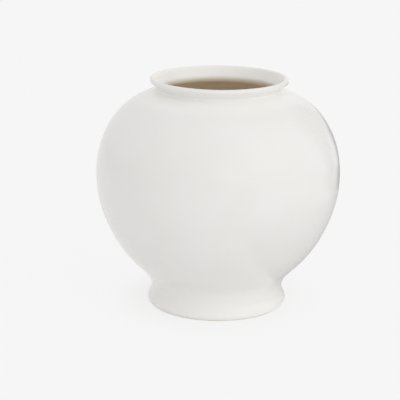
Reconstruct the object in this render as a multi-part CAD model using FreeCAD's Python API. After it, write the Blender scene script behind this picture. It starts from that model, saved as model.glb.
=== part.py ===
import FreeCAD, Part
import math
import os

# A moon jar: two thrown bowls joined rim to rim at the belly, on a thrown foot ring, with a flared
# neck ring on top. Slip fills the tongue and groove of each join, a coil backs the belly join inside,
# and glaze covers everything but the standing edge. Lengths are millimetres and +Z is up. The origin
# is the middle of the standing face.

# Heights, one above the other, from the standing face up.
foot_height = 19.0            # standing face to the waist, the narrowest place above the foot
lower_bowl_height = 128.0     # waist to belly
upper_bowl_height = 91.9      # belly to the narrowest place of the neck
neck_rise = 11.1              # narrowest place of the neck to the crest of the lip

# Radii over the glaze, and how far one place stands out past another.
waist_radius = 72.5
foot_flare = 3.9              # foot past the waist
belly_radius = 132.3
neck_radius = 67.0
lip_reach = 7.4               # lip past the neck

# The foot.
foot_bulge_height = 4.5       # where the foot is widest
foot_tuck = 0.6               # how far it draws in again at its standing edge
edge_round = 1.2              # rounding of the standing edges, which stay bare
ring_width = 12.5             # of the foot ring, at its base
ring_draft = 2.0              # how much wider the recess is at its mouth than at its roof
recess_depth = 15.0
recess_crown = 1.5            # rise of the recess roof to its middle

# The wall and the floor.
wall = 6.0
floor_thickness = 9.0
floor_radius = 45.0           # where the floor starts to turn up into the wall
floor_dish = 1.5              # rise of the floor from its middle to there

# The neck and the lip.
shoulder_slope = 24.0         # degrees from level where the shoulder meets the neck
neck_fillet = 2.0
lip_radius = 2.9
throat_inset = 3.8            # throat inside the narrowest place of the neck
throat_drop = 1.7             # and below it
throat_round = 6.0

# The joins: a tongue stands up from the lower piece into a groove, with slip all along it.
slip = 0.5
foot_tongue_width = 5.0
foot_tongue_height = 2.5
belly_tongue_width = 3.0
belly_tongue_height = 3.0
neck_tongue_width = 1.4
neck_tongue_height = 1.0
tongue_top_share = 0.4        # flat top of a tongue, of its width
coil_width = 26.0             # up and down the wall
coil_rise = 2.5               # off the wall

glaze = 0.5
overrun = 10.0                # how far a cut runs past the jar

# The outside curves. A bowl's heights are shares of its height, and its radii are shares of the way
# from its narrow end out to the belly.
lower_height_shares = (0.10, 0.20, 0.34, 0.54, 0.76)
lower_radius_shares = (0.079, 0.277, 0.539, 0.786, 0.947)
upper_height_shares = (0.30, 0.60, 0.80, 0.90)
upper_radius_shares = (0.944, 0.761, 0.515, 0.305)
foot_height_share = 0.40      # of the way from the foot's widest place to the waist
foot_radius_share = 0.38      # of the foot's flare that is left there
floor_shares = (1.0, 0.5, 0.1)  # places along the floor's radius that its dish is drawn through

# Places that follow from the sizes.
belly_height = foot_height + lower_bowl_height
neck_height = belly_height + upper_bowl_height
jar_height = neck_height + neck_rise
foot_radius = waist_radius + foot_flare
base_radius = foot_radius - foot_tuck
recess_base_radius = base_radius - ring_width
recess_top_radius = recess_base_radius - ring_draft
floor_height = recess_depth + recess_crown + floor_thickness
slope = math.radians(shoulder_slope)


def place(radius, height):
    return FreeCAD.Vector(radius, 0, height)


UP = place(0, 1)
IN = place(-1, 0)
SIDE = FreeCAD.Vector(0, 1, 0)
INTO_SHOULDER = place(-math.sin(slope), -math.cos(slope))
UP_SHOULDER = place(-math.cos(slope), math.sin(slope))


def polar(centre, radius, angle):
    return centre + place(radius * math.cos(angle), radius * math.sin(angle))


def line(start, end):
    return Part.LineSegment(start, end).toShape()


def arc(centre, radius, first, last):
    angles = (first, (first + last) / 2, last)
    return Part.Arc(*[polar(centre, radius, angle) for angle in angles]).toShape()


def smooth(points):
    curve = Part.BSplineCurve()
    curve.interpolate(points)
    return curve


def section(edges):
    return Part.Face(Part.Wire(edges))


def polygon(points):
    return section([line(start, end) for start, end in zip(points, points[1:] + points[:1])])


# The outside curve over the glaze, from the bare standing edge to the end of the shoulder, where a
# short straight run sets its slope.
neck_centre = place(neck_radius + neck_fillet, neck_height)
shoulder_end = neck_centre + INTO_SHOULDER * neck_fillet
belly = place(belly_radius, belly_height)
foot_points = [place(base_radius, edge_round),
               place(foot_radius, foot_bulge_height),
               place(waist_radius + foot_radius_share * foot_flare,
                     foot_bulge_height + foot_height_share * (foot_height - foot_bulge_height)),
               place(waist_radius, foot_height)]
lower_points = [place(waist_radius + out * (belly_radius - waist_radius),
                      foot_height + rise * lower_bowl_height)
                for rise, out in zip(lower_height_shares, lower_radius_shares)]
upper_points = [place(shoulder_end.x + out * (belly_radius - shoulder_end.x),
                      belly_height + rise * (shoulder_end.z - belly_height))
                for rise, out in zip(upper_height_shares, upper_radius_shares)]
shoulder_points = [shoulder_end - UP_SHOULDER * neck_fillet, shoulder_end]
body_points = foot_points + lower_points + [belly] + upper_points + shoulder_points
body_curve = smooth(body_points)


def sunk(points, depth):
    """Points of the outside curve, each moved a depth into the wall."""
    moved = []
    for point in points:
        ahead = body_curve.tangent(body_curve.parameter(point))[0]
        moved.append(point + place(-ahead.z, ahead.x) * depth)
    return moved


# The roundings of the lip and the throat, and the slopes of the two straight walls that join them
# to the neck and to each other.
lip_centre = place(neck_radius + lip_reach - lip_radius, jar_height - lip_radius)
throat_centre = place(neck_radius - throat_inset + throat_round, neck_height - throat_drop)
neck_to_lip = lip_centre - neck_centre
throat_to_lip = lip_centre - throat_centre
flare_slope = (math.acos((neck_fillet + lip_radius) / neck_to_lip.Length)
               - math.atan2(neck_to_lip.x, neck_to_lip.z))
funnel_slope = (math.atan2(throat_to_lip.z, throat_to_lip.x)
                + math.asin((lip_radius - throat_round) / throat_to_lip.Length))
shoulder_angle = -math.pi / 2 - slope
flare_angle = flare_slope - math.pi / 2
funnel_angle = funnel_slope + math.pi / 2


def outside(depth):
    """Edges from the bare standing edge over the lip to the throat, a depth below the glaze."""
    bare_edge = place(base_radius - depth, edge_round)
    neck = neck_fillet + depth
    lip = lip_radius - depth
    throat = throat_round - depth
    shoulder = neck_centre + INTO_SHOULDER * neck
    return [smooth([bare_edge] + sunk(body_points[1:-1], depth) + [shoulder]).toShape(),
            arc(neck_centre, neck, shoulder_angle, flare_angle - math.pi),
            line(polar(neck_centre, neck, flare_angle - math.pi), polar(lip_centre, lip, flare_angle)),
            arc(lip_centre, lip, flare_angle, funnel_angle),
            line(polar(lip_centre, lip, funnel_angle), polar(throat_centre, throat, funnel_angle)),
            arc(throat_centre, throat, funnel_angle, math.pi)]


def inside(depth):
    """Edges from the throat to the middle of the floor, a depth below the glaze."""
    rise = floor_height + glaze - depth
    throat = throat_round - depth
    start = throat_centre + INTO_SHOULDER * throat
    shoulder = [start, start - UP_SHOULDER * throat_round]
    side = sunk(upper_points[::-1] + [belly] + lower_points[:0:-1], wall + 2 * glaze - depth)
    floor = [place(floor_radius * share, rise + floor_dish * share ** 2) for share in floor_shares]
    return [arc(throat_centre, throat, math.pi, shoulder_angle + 2 * math.pi),
            smooth(shoulder + side + floor + [place(0, rise)]).toShape()]


def cavity(depth):
    """The hollow below the throat, a depth below the glaze."""
    walls = inside(depth)
    throat = throat_centre + IN * (throat_round - depth)
    middle = walls[-1].lastVertex().Point
    top = place(0, throat_centre.z)
    return section(walls + [line(middle, top), line(top, throat)])


def recess(inset):
    """The hollow in the foot above its bare edge, an inset inside the clay."""
    ball = (recess_top_radius ** 2 + recess_crown ** 2) / (2 * recess_crown)
    centre = place(0, recess_depth + recess_crown - ball)
    ball -= inset
    rim_angle = math.acos((recess_top_radius - inset) / ball)
    top = polar(centre, ball, math.pi / 2)
    rim = polar(centre, ball, rim_angle)
    mouth = place(recess_base_radius - inset, edge_round)
    middle = place(0, edge_round)
    roof = arc(centre, ball, math.pi / 2, rim_angle)
    return section([roof, line(rim, mouth), line(mouth, middle), line(middle, top)])


def clay_section():
    """All the clay at one side of the axis, before it is parted at the joins."""
    walls = outside(glaze) + inside(glaze)
    roof, side = recess(0).Edges[:2]
    middle = walls[-1].lastVertex().Point
    inner = place(recess_base_radius + edge_round, edge_round)
    outer = place(base_radius - glaze - edge_round, edge_round)
    ring_base = [arc(inner, edge_round, math.pi, 3 * math.pi / 2),
                 line(place(inner.x, 0), place(outer.x, 0)),
                 arc(outer, edge_round, -math.pi / 2, 0)]
    return section(ring_base + walls + [line(middle, roof.firstVertex().Point), roof, side])


def seat(inner, height, middle, width, rise):
    """The top of the lower piece at a join, from its inner radius out past the wall."""
    flat = width * tongue_top_share
    return [place(inner, height),
            place(middle - width / 2, height),
            place(middle - flat / 2, height + rise),
            place(middle + flat / 2, height + rise),
            place(middle + width / 2, height),
            place(belly_radius + overrun, height)]


def part_at(clay, top):
    """The clay under a seat, the slip on it, and the clay that is left above."""
    slip_top = [point + UP * slip for point in top]
    under = polygon(top + [place(top[-1].x, -overrun), place(top[0].x, -overrun)])
    joint = polygon(top + slip_top[::-1])
    return clay.common(under), clay.common(joint), clay.cut(under).cut(joint)


# The middle of each tongue is the middle of the clay there.
foot_middle = (recess_top_radius + waist_radius - glaze) / 2
belly_middle = belly_radius - glaze - wall / 2
neck_bore = throat_centre.x - math.sqrt((throat_round - glaze) ** 2 - throat_drop ** 2)
neck_middle = (neck_bore + neck_radius - glaze) / 2
foot_seat = seat(recess_top_radius, recess_depth, foot_middle, foot_tongue_width, foot_tongue_height)
belly_seat = seat(0, belly_height, belly_middle, belly_tongue_width, belly_tongue_height)
neck_seat = seat(0, neck_height, neck_middle, neck_tongue_width, neck_tongue_height)

foot_ring, foot_slip, clay = part_at(clay_section(), foot_seat)
lower_bowl, belly_slip, clay = part_at(clay, belly_seat)
upper_bowl, neck_slip, neck_ring = part_at(clay, neck_seat)

# The coil over the belly join is the part of a big round that shows inside the wall.
coil_ball = ((coil_width / 2) ** 2 + coil_rise ** 2) / (2 * coil_rise)
coil_centre = place(belly_radius - glaze - wall - coil_rise + coil_ball, belly_height)


def coil_round(grown):
    return section([Part.makeCircle(coil_ball + grown, coil_centre, SIDE)])


seam_coil = cavity(glaze).common(coil_round(0))
liner_glaze = cavity(glaze).cut(cavity(0).cut(coil_round(glaze))).cut(seam_coil)
base_glaze = recess(0).cut(recess(glaze))
glaze_face = outside(0)
clay_face = outside(glaze)
throat_edge = line(glaze_face[-1].lastVertex().Point, clay_face[-1].lastVertex().Point)
foot_edge = line(clay_face[0].firstVertex().Point, glaze_face[0].firstVertex().Point)
outer_glaze = section(glaze_face + [throat_edge] + clay_face[::-1] + [foot_edge])

pieces = {"foot_ring": foot_ring, "foot_slip": foot_slip, "lower_bowl": lower_bowl,
          "belly_slip": belly_slip, "seam_coil": seam_coil, "upper_bowl": upper_bowl,
          "neck_slip": neck_slip, "neck_ring": neck_ring, "outer_glaze": outer_glaze,
          "liner_glaze": liner_glaze, "base_glaze": base_glaze}

os.makedirs("parts", exist_ok=True)
for name, region in pieces.items():
    solids = [face.revolve(place(0, 0), UP, 360) for face in region.Faces]
    Part.makeCompound(solids).exportStep(f"parts/{name}.step")
    volume = sum(solid.Volume for solid in solids)
    print(name, "solids", len(solids), "valid", all(solid.isValid() for solid in solids),
          "volume", round(volume))
print("height", jar_height, "width", 2 * belly_radius)
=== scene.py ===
import math

import bpy
import numpy as np
from mathutils import Matrix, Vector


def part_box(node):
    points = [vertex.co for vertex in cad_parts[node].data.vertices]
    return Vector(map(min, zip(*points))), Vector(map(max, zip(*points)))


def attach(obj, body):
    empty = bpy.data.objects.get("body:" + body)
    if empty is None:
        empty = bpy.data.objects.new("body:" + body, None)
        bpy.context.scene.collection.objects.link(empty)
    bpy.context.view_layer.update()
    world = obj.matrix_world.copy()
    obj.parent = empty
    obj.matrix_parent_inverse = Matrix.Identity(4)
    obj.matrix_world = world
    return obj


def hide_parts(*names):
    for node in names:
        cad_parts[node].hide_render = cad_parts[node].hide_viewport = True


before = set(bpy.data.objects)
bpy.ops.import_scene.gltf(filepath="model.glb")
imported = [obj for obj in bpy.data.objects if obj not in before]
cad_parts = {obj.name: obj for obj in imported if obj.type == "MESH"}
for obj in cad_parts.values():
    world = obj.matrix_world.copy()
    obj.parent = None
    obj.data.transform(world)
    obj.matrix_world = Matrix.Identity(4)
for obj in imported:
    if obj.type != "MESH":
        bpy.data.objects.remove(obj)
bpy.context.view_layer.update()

# The foot ring is thrown from pale stoneware, turned true, and stuck under the bowl while both are
# leather hard. It is hollow underneath. Its standing edge is wiped clean of glaze before the firing,
# so that the gritty clay shows there.
mm = 0.001
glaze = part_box("outer_glaze")[1].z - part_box("neck_ring")[1].z
edge_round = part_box("outer_glaze")[0].z
recess_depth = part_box("foot_slip")[0].z
belly_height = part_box("belly_slip")[0].z
neck_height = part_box("neck_slip")[0].z
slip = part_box("upper_bowl")[0].z - belly_height

foot_height = 19.0 * mm
foot_bulge_height = 4.5 * mm
waist_radius = 72.5 * mm
foot_radius = waist_radius + 3.9 * mm
base_radius = foot_radius - 0.6 * mm
recess_base_radius = base_radius - 12.5 * mm
recess_top_radius = recess_base_radius - 2.0 * mm
foot_tongue_width = 5.0 * mm
foot_tongue_height = 2.5 * mm
tongue_top_share = 0.4

# One smooth line runs up the outside, from the foot through the waist and the belly to the neck.
belly_radius = 132.3 * mm
neck_radius = 67.0 * mm
neck_fillet = 2.0 * mm
shoulder_slope = math.radians(24)
into_shoulder = -np.array([math.sin(shoulder_slope), math.cos(shoulder_slope)])
up_shoulder = np.array([-math.cos(shoulder_slope), math.sin(shoulder_slope)])
neck_centre = np.array([neck_radius + neck_fillet, neck_height])
shoulder_end = neck_centre + into_shoulder * neck_fillet


def share_of(first, last, share):
    return first + share * (last - first)


# Each pair of shares says how high a place of a bowl is, and how far out to the belly.
foot_radius_share = 0.38
foot_height_share = 0.40
lower_shares = ((0.10, 0.079), (0.20, 0.277), (0.34, 0.539), (0.54, 0.786), (0.76, 0.947))
upper_shares = ((0.30, 0.944), (0.60, 0.761), (0.80, 0.515), (0.90, 0.305))
foot_points = [(base_radius, edge_round),
               (foot_radius, foot_bulge_height),
               (share_of(waist_radius, foot_radius, foot_radius_share),
                share_of(foot_bulge_height, foot_height, foot_height_share)),
               (waist_radius, foot_height)]
bowl_points = [(share_of(waist_radius, belly_radius, out), share_of(foot_height, belly_height, rise))
               for rise, out in lower_shares]
bowl_points.append((belly_radius, belly_height))
bowl_points += [(share_of(shoulder_end[0], belly_radius, out),
                 share_of(belly_height, shoulder_end[1], rise))
                for rise, out in upper_shares]
body_points = foot_points + bowl_points + [shoulder_end - up_shoulder * neck_fillet, shoulder_end]
hidden_step = 4.0 * mm
hidden_turns = 128
seen_turns = 256
arc_step = math.radians(15)
sharp_angle = math.radians(40)


def slopes(points):
    """How a smooth line runs at each of its points: a cubic spline that ends like a parabola."""
    gaps = np.linalg.norm(np.diff(points, axis=0), axis=1)
    runs = np.diff(points, axis=0) / gaps[:, None]
    rows = np.eye(len(points))
    sums = np.zeros((len(points), 2))
    sums[0] = runs[0] - gaps[0] * (runs[1] - runs[0]) / (gaps[0] + gaps[1])
    sums[-1] = runs[-1] + gaps[-1] * (runs[-1] - runs[-2]) / (gaps[-1] + gaps[-2])
    for i in range(1, len(points) - 1):
        before, after = 1 / gaps[i - 1], 1 / gaps[i]
        rows[i, i - 1:i + 2] = before, 2 * (before + after), after
        sums[i] = 3 * (runs[i - 1] * before + runs[i] * after)
    return np.linalg.solve(rows, sums)


def smooth_line(points, step):
    """The smooth line through the points, drawn in short steps."""
    points = np.asarray(points, float)
    bends = slopes(points)
    drawn = [points[:1]]
    for start, end, leave, reach in zip(points, points[1:], bends, bends[1:]):
        gap = np.linalg.norm(end - start)
        t = np.linspace(0, 1, max(3, round(gap / step)) + 1)[1:, None]
        drawn.append((1 + 2 * t) * (1 - t) ** 2 * start + t ** 2 * (3 - 2 * t) * end
                     + gap * t * (1 - t) * ((1 - t) * leave - t * reach))
    return np.vstack(drawn)


def sunk(points, depth):
    """Points of the outside line, each moved a depth into the wall."""
    ahead = slopes(points)
    inwards = np.column_stack([-ahead[:, 1], ahead[:, 0]])
    return np.asarray(points) + depth * inwards / np.linalg.norm(inwards, axis=1, keepdims=True)


def arc(centre, radius, first, last):
    """Points on a round stretch between two angles."""
    steps = max(2, math.ceil(abs(last - first) / arc_step))
    angles = np.linspace(first, last, steps + 1)
    return np.asarray(centre) + radius * np.column_stack([np.cos(angles), np.sin(angles)])


def outer_side(depth, step=hidden_step):
    """The outside from the bare edge up to the narrowest place of the neck, a depth below the glaze."""
    points = sunk(body_points, depth)
    points[0] = base_radius - depth, edge_round
    points[-1] = neck_centre + into_shoulder * (neck_fillet + depth)
    neck = arc(neck_centre, neck_fillet + depth, -math.pi / 2 - shoulder_slope, -math.pi)
    return np.vstack([smooth_line(points, step), neck[1:]])


def stretch(line, low, high):
    """The part of a line between two heights, drawn upwards."""
    line = line if line[-1, 1] > line[0, 1] else line[::-1]
    ends = [(np.interp(height, line[:, 1], line[:, 0]), height) for height in (low, high)]
    between = line[(line[:, 1] > low + mm / 20) & (line[:, 1] < high - mm / 20)]
    return np.vstack([ends[:1], between, ends[1:]])


def tongue(height, middle, width, rise):
    """The tongue on top of the lower piece at a join, drawn outwards."""
    flat = width * tongue_top_share
    return np.array([(middle - width / 2, height), (middle - flat / 2, height + rise),
                     (middle + flat / 2, height + rise), (middle + width / 2, height)])


def thrown(name, outline, turns, closed=True):
    """Draws half an outline point by point, and turns it once round the jar's axis."""
    bpy.ops.object.select_all(action="DESELECT")
    bpy.ops.mesh.primitive_plane_add(size=mm, location=(outline[0][0], 0, outline[0][1]))
    piece = bpy.context.object
    piece.name = piece.data.name = name
    bpy.ops.object.transform_apply(location=True)
    bpy.ops.object.mode_set(mode="EDIT")
    bpy.ops.mesh.merge(type="CENTER")
    bpy.ops.mesh.select_all(action="SELECT")
    ahead = np.vstack([outline[1:], outline[:1]]) if closed else outline[1:]
    for here, there in zip(outline, ahead):
        step = (there[0] - here[0], 0, there[1] - here[1])
        bpy.ops.mesh.extrude_region_move(TRANSFORM_OT_translate={"value": step})
    bpy.ops.mesh.select_all(action="SELECT")
    bpy.ops.mesh.remove_doubles(threshold=mm / 1000)
    bpy.ops.mesh.spin(steps=turns, angle=2 * math.pi, center=(0, 0, 0), axis=(0, 0, 1))
    bpy.ops.mesh.select_all(action="SELECT")
    bpy.ops.mesh.remove_doubles(threshold=mm / 1000)
    bpy.ops.mesh.normals_make_consistent(inside=False)
    bpy.ops.object.mode_set(mode="OBJECT")
    bpy.ops.object.shade_smooth_by_angle(angle=sharp_angle)
    return piece


inner_edge = arc((recess_base_radius + edge_round, edge_round), edge_round, math.pi, 1.5 * math.pi)
outer_edge = arc((base_radius - glaze - edge_round, edge_round), edge_round, 1.5 * math.pi, 2 * math.pi)
foot_middle = (recess_top_radius + waist_radius - glaze) / 2
foot_tongue = tongue(recess_depth, foot_middle, foot_tongue_width, foot_tongue_height)
foot_ring = thrown("turned_foot_ring", np.vstack([
    inner_edge, outer_edge, stretch(outer_side(glaze), edge_round, recess_depth)[1:],
    foot_tongue[::-1], [(recess_top_radius, recess_depth)]]), seen_turns)


def add_node(material, kind, sockets=(), **settings):
    """Adds a node with its settings, its sockets filled with a value or joined to another node."""
    node = material.node_tree.nodes.new(kind)
    for name, value in settings.items():
        setattr(node, name, value)
    for socket, value in dict(sockets).items():
        if isinstance(value, bpy.types.NodeSocket):
            material.node_tree.links.new(value, node.inputs[socket])
        else:
            node.inputs[socket].default_value = value
    return node


def math_node(material, operation, *values):
    return add_node(material, "ShaderNodeMath", dict(enumerate(values)), operation=operation).outputs[0]


def noise_node(material, place, size, detail=2.0):
    """Noise whose grains are about a size across."""
    sockets = {"Vector": place, "Scale": 1 / size, "Detail": detail}
    return add_node(material, "ShaderNodeTexNoise", sockets).outputs["Fac"]


def ramp_node(material, value, low, high, start=0.0, end=1.0):
    """Takes a value between low and high smoothly from start to end."""
    sockets = {"Value": value, "From Min": low, "From Max": high, "To Min": start, "To Max": end}
    ramp = add_node(material, "ShaderNodeMapRange", sockets, interpolation_type="SMOOTHSTEP")
    return ramp.outputs["Result"]


def tint_node(material, share, first, second):
    """A colour between two, each given as a tuple or as another node's colour."""
    sockets = {0: share}
    for socket, colour in ((6, first), (7, second)):
        sockets[socket] = (*colour, 1) if isinstance(colour, tuple) else colour
    return add_node(material, "ShaderNodeMix", sockets, data_type="RGBA", clamp_factor=True).outputs[2]


def veil_node(material, pattern, strength, under, colour):
    """A colour laid over another as strongly as a pattern, times a strength."""
    return tint_node(material, math_node(material, "MULTIPLY", pattern, strength), under, colour)


def bump_node(material, height, depth, under=None):
    sockets = {"Height": height, "Distance": depth, "Strength": 1.0}
    if under is not None:
        sockets["Normal"] = under
    return add_node(material, "ShaderNodeBump", sockets).outputs["Normal"]


def new_material(name):
    """A material with its shader and the place on the object that its patterns read."""
    material = bpy.data.materials.new(name)
    material.use_nodes = True
    place = add_node(material, "ShaderNodeTexCoord").outputs["Object"]
    return material, material.node_tree.nodes["Principled BSDF"], place


def join_nodes(material, shader, **sockets):
    """Joins or sets the shader's sockets, their names written with _ for a space."""
    for name, value in sockets.items():
        socket = shader.inputs[name.replace("_", " ")]
        if isinstance(value, bpy.types.NodeSocket):
            material.node_tree.links.new(value, socket)
        else:
            socket.default_value = value


def speck_node(material, place, spacing, size, share):
    """Round specks of a size, about one in each spacing, in a share of the places."""
    sockets = {"Vector": place, "Scale": 1 / spacing, "Randomness": 1.0}
    cells = add_node(material, "ShaderNodeTexVoronoi", sockets).outputs
    chance = add_node(material, "ShaderNodeSeparateColor", {"Color": cells["Color"]}).outputs["Red"]
    chosen = math_node(material, "LESS_THAN", chance, share)
    edge = size / spacing
    round_speck = ramp_node(material, cells["Distance"], 0.35 * edge, edge, 1.0, 0.0)
    return math_node(material, "MULTIPLY", round_speck, chosen)


def axis_nodes(material, place):
    """How far a place is from the jar's axis, and how high it is."""
    parts = add_node(material, "ShaderNodeSeparateXYZ", {"Vector": place}).outputs
    level = add_node(material, "ShaderNodeCombineXYZ", {"X": parts["X"], "Y": parts["Y"]})
    out = add_node(material, "ShaderNodeVectorMath", {0: level.outputs[0]}, operation="LENGTH")
    return out.outputs["Value"], parts["Z"]


# Fired clay: pale buff, clouded, with a few iron specks, fine grit and the rings of the turning tool.
bare_clay, shader, place = new_material("bare_clay")
clouds = noise_node(bare_clay, place, 22 * mm, 4.0)
grit = noise_node(bare_clay, place, 0.7 * mm, 3.0)
iron = speck_node(bare_clay, place, 3.5 * mm, 0.45 * mm, 0.45)
body_tint = tint_node(bare_clay, ramp_node(bare_clay, clouds, 0.35, 0.65),
                      (0.76, 0.72, 0.66), (0.72, 0.68, 0.62))
body_tint = veil_node(bare_clay, grit, 0.35, body_tint, (0.80, 0.765, 0.71))
body_tint = veil_node(bare_clay, iron, 0.5, body_tint, (0.36, 0.28, 0.21))
ring_spacing = 0.9 * mm
out, height = axis_nodes(bare_clay, place)
across = {"W": math_node(bare_clay, "ADD", out, height), "Scale": 1 / ring_spacing}
turned = add_node(bare_clay, "ShaderNodeTexNoise", across, noise_dimensions="1D")
rings = bump_node(bare_clay, turned.outputs["Fac"], 0.05 * mm)
grain = bump_node(bare_clay, grit, 0.12 * mm, rings)
join_nodes(bare_clay, shader, Base_Color=body_tint, Normal=grain,
           Roughness=ramp_node(bare_clay, clouds, 0.3, 0.7, 0.84, 0.93))
foot_ring.data.materials.append(bare_clay)
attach(foot_ring, "root")
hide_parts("foot_ring")

# The foot slip is a creamy mix of the same clay and water. It is brushed on the scored tongue of the
# ring before the bowl's groove is pressed down on it, and fires hard with them.
foot_slip = thrown("foot_joining_slip", np.vstack([
    [(recess_top_radius, recess_depth)], foot_tongue,
    stretch(outer_side(glaze), recess_depth, recess_depth + slip),
    (foot_tongue + (0, slip))[::-1], [(recess_top_radius, recess_depth + slip)]]), hidden_turns)

joining_slip, shader, place = new_material("joining_slip")
clouds = noise_node(joining_slip, place, 12 * mm, 3.0)
brushed = noise_node(joining_slip, place, 1.6 * mm, 4.0)
slip_tint = tint_node(joining_slip, clouds, (0.785, 0.75, 0.695), (0.755, 0.72, 0.665))
join_nodes(joining_slip, shader, Base_Color=slip_tint, Normal=bump_node(joining_slip, brushed, 0.1 * mm),
           Roughness=ramp_node(joining_slip, brushed, 0.3, 0.7, 0.8, 0.9))
foot_slip.data.materials.append(joining_slip)
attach(foot_slip, "root")
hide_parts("foot_slip")

# The lower bowl is thrown from the same clay, with the floor in it, and its rim is cut to a tongue.
# It stands on the foot ring, whose tongue goes into the groove that is turned under it.
wall = 6.0 * mm
recess_crown = 1.5 * mm
floor_height = recess_depth + recess_crown + 9.0 * mm
floor_radius = 45.0 * mm
floor_dish = 1.5 * mm
floor_shares = (1.0, 0.5, 0.1)
belly_tongue_width = 3.0 * mm
belly_tongue_height = 3.0 * mm
throat_round = 6.0 * mm
throat_centre = np.array([neck_radius - 3.8 * mm + throat_round, neck_height - 1.7 * mm])
roof_ball = (recess_top_radius ** 2 + recess_crown ** 2) / (2 * recess_crown)


def recess_roof(inset):
    """The roof over the hollow in the foot from its middle outwards, an inset below the clay."""
    out = np.linspace(0, recess_top_radius - inset, 17)
    rise = recess_depth + recess_crown - roof_ball + np.sqrt((roof_ball - inset) ** 2 - out ** 2)
    return np.column_stack([out, rise])


def inner_side(depth, step=hidden_step):
    """The inside from under the throat down to the middle of the floor, a depth below the glaze."""
    rise = floor_height + glaze - depth
    start = throat_centre + into_shoulder * (throat_round - depth)
    side = sunk(body_points, wall + 2 * glaze - depth)[len(foot_points):-2][::-1]
    floor = [(floor_radius * share, rise + floor_dish * share ** 2) for share in floor_shares]
    shoulder = [start, start - up_shoulder * throat_round]
    return smooth_line(np.vstack([shoulder, side, floor, [(0, rise)]]), step)


belly_middle = belly_radius - glaze - wall / 2
belly_tongue = tongue(belly_height, belly_middle, belly_tongue_width, belly_tongue_height)
lower_bowl = thrown("thrown_lower_bowl", np.vstack([
    recess_roof(0), [(recess_top_radius, recess_depth + slip)], foot_tongue + (0, slip),
    stretch(outer_side(glaze), recess_depth + slip, belly_height), belly_tongue[::-1],
    stretch(inner_side(glaze), floor_height, belly_height)[::-1]]), hidden_turns, closed=False)
lower_bowl.data.materials.append(bare_clay)
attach(lower_bowl, "root")
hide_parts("lower_bowl")

# The belly slip is brushed on the rim of the lower bowl, all along its tongue, before the upper bowl
# is turned over and set on it.
belly_slip = thrown("belly_joining_slip", np.vstack([
    belly_tongue, stretch(outer_side(glaze), belly_height, belly_height + slip),
    (belly_tongue + (0, slip))[::-1],
    stretch(inner_side(glaze), belly_height, belly_height + slip)[::-1]]), hidden_turns)
belly_slip.data.materials.append(joining_slip)
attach(belly_slip, "root")
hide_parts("belly_slip")

# The seam coil is a soft roll of clay that the potter reaches in and presses flat over the belly
# join from inside, so that the join can't open as the jar dries.
coil_width = 26.0 * mm
coil_rise = 2.5 * mm
coil_ball = ((coil_width / 2) ** 2 + coil_rise ** 2) / (2 * coil_rise)
coil_middle = belly_radius - glaze - wall - coil_rise + coil_ball
coil_low, coil_high = (corner.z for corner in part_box("seam_coil"))


def coil_face(heights, grown):
    """How far out the coil's face is at these heights, with a thickness grown on it."""
    return coil_middle - np.sqrt((coil_ball + grown) ** 2 - (heights - belly_height) ** 2)


heights = np.linspace(coil_low, coil_high, 15)[1:-1]
seam_coil = thrown("pressed_seam_coil", np.vstack([
    np.column_stack([coil_face(heights, 0), heights]),
    stretch(inner_side(glaze), coil_low, coil_high)[::-1]]), hidden_turns)
seam_coil.data.materials.append(bare_clay)
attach(seam_coil, "root")
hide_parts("seam_coil")

# The upper bowl is thrown like the lower one, turned over and set on it. Its own floor is cut out,
# and the rim that is left is cut to a tongue for the neck.
lip_radius = 2.9 * mm
jar_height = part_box("outer_glaze")[1].z
neck_tongue_width = 1.4 * mm
neck_tongue_height = 1.0 * mm
lip_centre = np.array([neck_radius + 7.4 * mm - lip_radius, jar_height - lip_radius])
throat_to_lip = lip_centre - throat_centre
flare_angle = (math.atan2(throat_to_lip[1], throat_to_lip[0]) + math.pi / 2
               + math.asin((lip_radius - throat_round) / np.linalg.norm(throat_to_lip)))


def throat_side(depth):
    """The inside from the crest of the lip down the flare and round the throat."""
    crest = arc(lip_centre, lip_radius - depth, math.pi / 2, flare_angle)
    throat = arc(throat_centre, throat_round - depth, flare_angle, 1.5 * math.pi - shoulder_slope)
    return np.vstack([crest, throat])


def whole_inside(depth, step=hidden_step):
    return np.vstack([throat_side(depth), inner_side(depth, step)[1:]])


neck_bore = stretch(throat_side(glaze), neck_height, jar_height - glaze)[0, 0]
neck_middle = (neck_bore + neck_radius - glaze) / 2
neck_tongue = tongue(neck_height, neck_middle, neck_tongue_width, neck_tongue_height)
upper_bowl = thrown("thrown_upper_bowl", np.vstack([
    belly_tongue + (0, slip), stretch(outer_side(glaze), belly_height + slip, neck_height),
    neck_tongue[::-1],
    stretch(whole_inside(glaze), belly_height + slip, neck_height)[::-1]]), hidden_turns)
upper_bowl.data.materials.append(bare_clay)
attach(upper_bowl, "root")
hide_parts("upper_bowl")

# The neck slip sticks the neck to the upper bowl, along the last tongue.
neck_to_lip = lip_centre - neck_centre
neck_angle = (math.acos((neck_fillet + lip_radius) / np.linalg.norm(neck_to_lip)) - math.pi / 2
              - math.atan2(neck_to_lip[0], neck_to_lip[1]))


def whole_outside(depth, step=hidden_step):
    """The outside from the bare edge over the neck to the crest of the lip, a depth below the glaze."""
    neck = arc(neck_centre, neck_fillet + depth, -math.pi, neck_angle - math.pi)
    crest = arc(lip_centre, lip_radius - depth, neck_angle, math.pi / 2)
    return np.vstack([outer_side(depth, step), neck[1:], crest])


neck_slip = thrown("neck_joining_slip", np.vstack([
    neck_tongue, stretch(whole_outside(glaze), neck_height, neck_height + slip),
    (neck_tongue + (0, slip))[::-1],
    stretch(whole_inside(glaze), neck_height, neck_height + slip)[::-1]]), hidden_turns)
neck_slip.data.materials.append(joining_slip)
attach(neck_slip, "root")
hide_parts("neck_slip")

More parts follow.
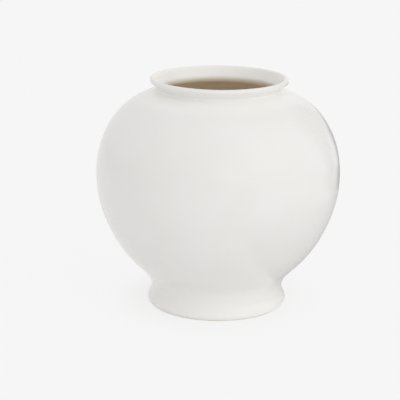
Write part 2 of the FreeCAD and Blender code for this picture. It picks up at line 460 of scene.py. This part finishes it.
# The neck ring is a collar of the same clay, thrown on the joined bowls and drawn out into a flared
# lip with a round edge.
neck_ring = thrown("thrown_neck_ring", np.vstack([
    neck_tongue + (0, slip), stretch(whole_outside(glaze), neck_height + slip, jar_height - glaze),
    stretch(whole_inside(glaze), neck_height + slip, jar_height - glaze)[::-1]]), hidden_turns)
neck_ring.data.materials.append(bare_clay)
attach(neck_ring, "root")
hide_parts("neck_ring")

# The base glaze is the white glaze that is swilled round the hollow of the foot. It draws into the
# corner under the roof and stops at the wiped edge.
pool = 3.0 * mm
base_roof = recess_roof(glaze)
base_corner = base_roof[-1]
base_mouth = np.array([recess_base_radius - glaze, edge_round])
down = (base_mouth - base_corner) / np.linalg.norm(base_mouth - base_corner)
t = np.linspace(0, 1, 8)[:, None]
pooled = ((1 - t) ** 2 * (base_corner - (pool, 0)) + 2 * t * (1 - t) * base_corner
          + t ** 2 * (base_corner + down * pool))
bead_round = glaze / 2
base_bead = arc(base_mouth + (bead_round, bead_round), bead_round, math.pi, 1.5 * math.pi)
base_glaze = thrown("foot_hollow_glaze", np.vstack([
    base_roof[base_roof[:, 0] < base_corner[0] - pool - mm], pooled, base_bead,
    [(recess_base_radius, edge_round)], recess_roof(0)[::-1]]), seen_turns, closed=False)

# Satin white glaze: two near whites in soft clouds, and warmer where it is thin on the crest of the lip.
# It has painted light: it is whiter low on the body towards the foot, on the shoulder under the neck and
# in the flare of the lip, to lift the shade there. It has faint iron specks, pinholes and fine peel.
white_glaze, shader, place = new_material("white_glaze")
clouds = noise_node(white_glaze, place, 45 * mm, 3.0)
mottle = noise_node(white_glaze, place, 6 * mm, 3.0)
out, height = axis_nodes(white_glaze, place)
# Painted light: these masks make the glaze whiter where shade falls, low on the body, under the neck and
# in the flare.
painted_light_low = ramp_node(white_glaze, height, foot_height + 12 * mm, foot_height + 46 * mm, 0.55, 0.0)
above_neck = ramp_node(white_glaze, height, neck_height + 4 * mm, neck_height + 8 * mm, 1.0, 0.0)
under_neck = ramp_node(white_glaze, height, neck_height - 16 * mm, neck_height - 3 * mm)
painted_light_under_neck = math_node(white_glaze, "MULTIPLY", above_neck, under_neck)
over_neck = ramp_node(white_glaze, height, neck_height, neck_height + 6 * mm)
inside_lip = ramp_node(white_glaze, out, neck_radius + 2.5 * mm, neck_radius + 5 * mm, 0.8, 0.0)
painted_light_in_flare = math_node(white_glaze, "MULTIPLY", inside_lip, over_neck)
painted_light = math_node(white_glaze, "MAXIMUM", painted_light_under_neck, painted_light_in_flare)
painted_light = math_node(white_glaze, "MAXIMUM", painted_light_low, painted_light)
thinned = ramp_node(white_glaze, height, jar_height - 1.8 * mm, jar_height)
white_tint = tint_node(white_glaze, ramp_node(white_glaze, clouds, 0.35, 0.65),
                       (0.805, 0.794, 0.776), (0.795, 0.780, 0.758))
white_tint = veil_node(white_glaze, mottle, 0.25, white_tint, (0.815, 0.807, 0.792))
# Painted light: the glaze is tinted whiter in those shaded places.
white_tint = tint_node(white_glaze, painted_light, white_tint, (0.875, 0.86, 0.835))
white_tint = veil_node(white_glaze, thinned, 0.15, white_tint, (0.80, 0.765, 0.70))
iron = speck_node(white_glaze, place, 24 * mm, 0.35 * mm, 0.5)
white_tint = veil_node(white_glaze, iron, 0.35, white_tint, (0.45, 0.38, 0.30))
peel = bump_node(white_glaze, noise_node(white_glaze, place, 2.6 * mm, 1.0), 0.02 * mm)
swell = bump_node(white_glaze, noise_node(white_glaze, place, 16 * mm, 1.0), 0.12 * mm, peel)
pinholes = speck_node(white_glaze, place, 9 * mm, 0.3 * mm, 0.4)
pitted = bump_node(white_glaze, math_node(white_glaze, "SUBTRACT", 1.0, pinholes), 0.08 * mm, swell)
join_nodes(white_glaze, shader, Base_Color=white_tint, Normal=pitted,
           Roughness=ramp_node(white_glaze, mottle, 0.3, 0.7, 0.19, 0.25))
base_glaze.data.materials.append(white_glaze)
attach(base_glaze, "root")
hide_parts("base_glaze")

# The liner glaze is poured in, swilled round and poured out again before the outside is glazed. It is
# creamier than the white, lies over the coil and the finger marks, and meets the white at the throat.
liner_step = 1.5 * mm
liner_turns = 192
throat_height = throat_centre[1]
coil_blend = 0.6 * mm


def over_coil(line, grown, blend):
    """Carries an inside line over the coil, softened where the two meet."""
    line = line.copy()
    near = abs(line[:, 1] - belly_height) < coil_width
    walls, faces = line[near, 0], coil_face(line[near, 1], grown)
    line[near, 0] = -blend * np.logaddexp(-walls / blend, -faces / blend)
    return line


liner_back = stretch(whole_inside(glaze), floor_height, throat_height)
liner_back = over_coil(liner_back, 0, mm / 100)
liner_front = stretch(whole_inside(0, liner_step), floor_height + glaze, throat_height)
liner_front = over_coil(liner_front, glaze, coil_blend)
liner_front[0, 0] = liner_back[0, 0] = 0
liner_outline = np.vstack([liner_back, liner_front[::-1]])
liner_glaze = thrown("liner_glaze_skin", liner_outline, liner_turns, closed=False)

cream_glaze, shader, place = new_material("cream_glaze")
clouds = noise_node(cream_glaze, place, 35 * mm, 3.0)
mottle = noise_node(cream_glaze, place, 4 * mm, 3.0)
cream_tint = tint_node(cream_glaze, ramp_node(cream_glaze, clouds, 0.35, 0.65),
                       (0.885, 0.82, 0.715), (0.87, 0.80, 0.69))
cream_tint = veil_node(cream_glaze, mottle, 0.25, cream_tint, (0.89, 0.835, 0.735))
iron = speck_node(cream_glaze, place, 16 * mm, 0.4 * mm, 0.5)
cream_tint = veil_node(cream_glaze, iron, 0.5, cream_tint, (0.40, 0.29, 0.19))
peel = bump_node(cream_glaze, noise_node(cream_glaze, place, 2.6 * mm, 1.0), 0.02 * mm)
join_nodes(cream_glaze, shader, Base_Color=cream_tint, Normal=peel,
           Roughness=ramp_node(cream_glaze, mottle, 0.3, 0.7, 0.32, 0.40))
liner_glaze.data.materials.append(cream_glaze)
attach(liner_glaze, "root")
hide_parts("liner_glaze")

# The outer glaze is the satin white skin that the jar gets when it is dipped: from just above the
# standing edge, where it ends in a small rolled bead, up over the lip and down to the throat.
seen_step = 2.2 * mm
bead = 0.3 * mm
bead_line = arc((base_radius - bead, edge_round + bead), bead, -math.pi / 2, 0)
outside_line = whole_outside(0, seen_step)
outside_line = outside_line[outside_line[:, 1] > edge_round + 1.2 * bead]
inside_line = stretch(whole_inside(0), throat_height, jar_height)[-2::-1]
white_front = np.vstack([bead_line, outside_line, inside_line])
inside_line = stretch(whole_inside(glaze), throat_height, jar_height - glaze)[-2::-1]
white_back = np.vstack([whole_outside(glaze), inside_line])
outer_glaze = thrown("outer_white_glaze", np.vstack([white_front, white_back[::-1]]), seen_turns)
outer_glaze.data.materials.append(white_glaze)
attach(outer_glaze, "root")
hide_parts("outer_glaze")

# The potter's fingers leave a spiral of low rings inside, and thumb marks on the coil. Drying and
# firing then move the whole jar by a fraction of a millimetre. Every piece is moved by the same rule,
# by where it is, so that the pieces stay together.
heart = share_of(floor_height, neck_height, 0.52)
skin = liner_front[::-1]
skin_lean = np.arctan2(skin[:, 0], skin[:, 1] - heart)
skin_reach = np.hypot(skin[:, 0], skin[:, 1] - heart)
skin_run = np.concatenate([[0], np.cumsum(np.linalg.norm(np.diff(skin, axis=0), axis=1))])
finger_pitch = 9.0 * mm
finger_depth = 0.25 * mm
thumb_depth = 0.35 * mm
thumb_marks = 26
oval_share = 0.0011
lobe_share = 0.0006
rim_swing = 0.15 * mm
rim_ripple = 0.08 * mm


def eased(value, low, high):
    """Runs smoothly from 0 at the low value to 1 at the high one."""
    t = np.clip((value - low) / (high - low), 0, 1)
    return t * t * (3 - 2 * t)


def fired(piece):
    """Gives a thrown piece its finger marks and the small movements of the firing."""
    places = np.empty(len(piece.data.vertices) * 3)
    piece.data.vertices.foreach_get("co", places)
    x, y, z = places.reshape(-1, 3).T
    out, turn = np.hypot(x, y), np.arctan2(y, x)
    lean, reach = np.arctan2(out, z - heart), np.hypot(out, z - heart)
    run = np.interp(lean, skin_lean, skin_run)
    inside = 1 - eased(reach - np.interp(lean, skin_lean, skin_reach), 0, 5 * mm)
    inside *= eased(run, 8 * mm, 30 * mm) * eased(out, 4 * mm, 25 * mm)
    on_coil = 1 - eased(abs(z - belly_height), 0.2 * coil_width, 0.6 * coil_width)
    rings = finger_depth * np.cos(2 * math.pi * run / finger_pitch - turn) * (1 - on_coil)
    thumbs = thumb_depth * np.cos(thumb_marks * turn + 1.5 * np.sin(3 * turn)) * on_coil
    dig = inside * (rings + thumbs) / np.maximum(reach, mm)
    loose = eased(z, foot_height, belly_height)
    swing = 1 + loose * (oval_share * np.sin(2 * turn + 0.6) + lobe_share * np.sin(3 * turn + 2.0))
    rim = eased(z, neck_height, jar_height)
    grow = (1 + dig) * swing
    waver = rim_swing * np.sin(2 * turn + 1.1) + rim_ripple * np.sin(5 * turn)
    lift = dig * (z - heart) + rim * waver
    piece.data.vertices.foreach_set("co", np.column_stack([x * grow, y * grow, z + lift]).ravel())
    piece.data.update()


for piece in (foot_ring, foot_slip, lower_bowl, belly_slip, seam_coil, upper_bowl, neck_slip, neck_ring,
              base_glaze, liner_glaze, outer_glaze):
    fired(piece)

# The jar stands on a seamless white floor. It keeps a soft share of the jar's shadow, and the camera
# sees the rest of it, and the room behind, as the same near white.
near_white = 0.9216
floor_paint = 0.9
seen_paint = 0.969
floor_width = 16.0
shadow_reach = 0.13
near_shadow_share = 0.27
far_shadow_share = 0.06
bpy.ops.object.select_all(action="DESELECT")
bpy.ops.mesh.primitive_plane_add(size=floor_width)
floor = bpy.context.object
floor.name = "studio_floor"
bpy.ops.object.mode_set(mode="EDIT")
bpy.ops.mesh.subdivide(number_cuts=7)
bpy.ops.object.mode_set(mode="OBJECT")
floor_white = bpy.data.materials.new("studio_floor_white")
floor_white.use_nodes = True
floor_white.node_tree.nodes.clear()


def seen_ray(material):
    """1 for rays that show a surface, straight or by a reflection, and 0 for those that light others."""
    rays = add_node(material, "ShaderNodeLightPath").outputs
    seen = math_node(material, "MAXIMUM", rays["Is Camera Ray"], rays["Is Glossy Ray"])
    return math_node(material, "MAXIMUM", seen, rays["Is Transmission Ray"])


seen = seen_ray(floor_white)
where = add_node(floor_white, "ShaderNodeTexCoord").outputs["Object"]
away = add_node(floor_white, "ShaderNodeVectorMath", {0: where}, operation="LENGTH").outputs["Value"]
shadow_share = ramp_node(floor_white, away, foot_radius, shadow_reach,
                         near_shadow_share, far_shadow_share)
share = math_node(floor_white, "MULTIPLY", seen, math_node(floor_white, "SUBTRACT", 1.0, shadow_share))
tone = math_node(floor_white, "MULTIPLY_ADD", seen, seen_paint - floor_paint, floor_paint)
paint = add_node(floor_white, "ShaderNodeBsdfDiffuse", {"Color": tone})
shine = add_node(floor_white, "ShaderNodeEmission", {"Color": (1, 1, 1, 1), "Strength": near_white})
mixed = add_node(floor_white, "ShaderNodeMixShader",
                 {0: share, 1: paint.outputs[0], 2: shine.outputs[0]})
add_node(floor_white, "ShaderNodeOutputMaterial", {"Surface": mixed.outputs[0]})
floor.data.materials.append(floor_white)

# The room is white all round: a little less so in the light that it gives than as it is seen.
room_light = 0.859
world = bpy.data.worlds.new("white_room")
bpy.context.scene.world = world
world.use_nodes = True
backdrop = world.node_tree.nodes["Background"]
backdrop.inputs["Color"].default_value = (1, 1, 1, 1)
brightness = math_node(world, "MULTIPLY_ADD", seen_ray(world), near_white - room_light, room_light)
world.node_tree.links.new(brightness, backdrop.inputs["Strength"])

# Cards stand round the jar that only its gloss shows: behind it on the right two dark ones, with a
# grey one under them, one over them and one beside them, and a grey sheet on the floor there. Behind
# it on the left is a low one. Each has a width, a height, a place, a turn and a brightness.
cards = {"low_dark_card": (0.21, 0.05, (0.215, 0.25, 0.075), 90, 0.06),
         "dark_card": (0.155, 0.1, (0.1875, 0.25, 0.15), 90, 0.1),
         "foot_card": (0.26, 0.05, (0.24, 0.25, 0.025), 90, 0.42),
         "grey_card": (0.33, 0.6, (0.535, 0.25, 0.3), 90, 0.44),
         "grey_sheet": (0.322, 0.5, (0.239, 0, mm), 0, 0.45),
         "side_card": (0.17, 0.28, (0.285, 0.25, 0.36), 90, 0.63),
         "low_grey_card": (0.1, 0.1, (-0.15, 0.25, 0.05), 90, 0.62)}
for name, (width, height, place, turn, brightness) in cards.items():
    bpy.ops.object.select_all(action="DESELECT")
    bpy.ops.mesh.primitive_plane_add(size=1, location=place, rotation=(math.radians(turn), 0, 0))
    card = bpy.context.object
    card.name = name
    card.scale = (width, height, 1)
    paper = bpy.data.materials.new(name)
    paper.use_nodes = True
    paper.node_tree.nodes.clear()
    tone = add_node(paper, "ShaderNodeEmission", {"Color": (1, 1, 1, 1), "Strength": brightness})
    add_node(paper, "ShaderNodeOutputMaterial", {"Surface": tone.outputs[0]})
    card.data.materials.append(paper)
    card.visible_camera = card.visible_diffuse = card.visible_shadow = False

# Two wide soft lamps stand in front on the right, one of them low. Each has how far round to the right
# and how far up it stands, a strength and a softness. Their gleam is left out.
lamps = {"key_lamp": (60, 30, 0.38, 40), "front_lamp": (30, 15, 0.38, 50)}
for name, (round_right, above, strength, softness) in lamps.items():
    bpy.ops.object.light_add(type="SUN")
    lamp = bpy.context.object
    lamp.name = lamp.data.name = name
    lamp.rotation_euler = (math.radians(90 - above), 0, math.radians(round_right))
    lamp.data.energy = strength
    lamp.data.angle = math.radians(softness)
    lamp.visible_glossy = False

bpy.context.scene.cycles.max_bounces = 14
bpy.context.scene.cycles.diffuse_bounces = 12
bpy.context.scene.view_settings.view_transform = "Standard"

# The camera stands 1.5 m away and looks down at the jar by 16 degrees.
camera_place = (0, -1.41716, 0.51404)
camera_pan = 0.01359
camera_tilt = 0.27584
camera_roll = 0.01019
bpy.ops.object.camera_add(location=camera_place)
camera = bpy.context.object
camera.name = "photo_camera"
camera.data.sensor_width = 36
camera.data.lens = 120.69
aim = (Matrix.Rotation(camera_pan, 3, "Z") @ Matrix.Rotation(math.pi / 2 - camera_tilt, 3, "X")
       @ Matrix.Rotation(camera_roll, 3, "Z"))
camera.rotation_euler = aim.to_euler()
bpy.context.scene.camera = camera
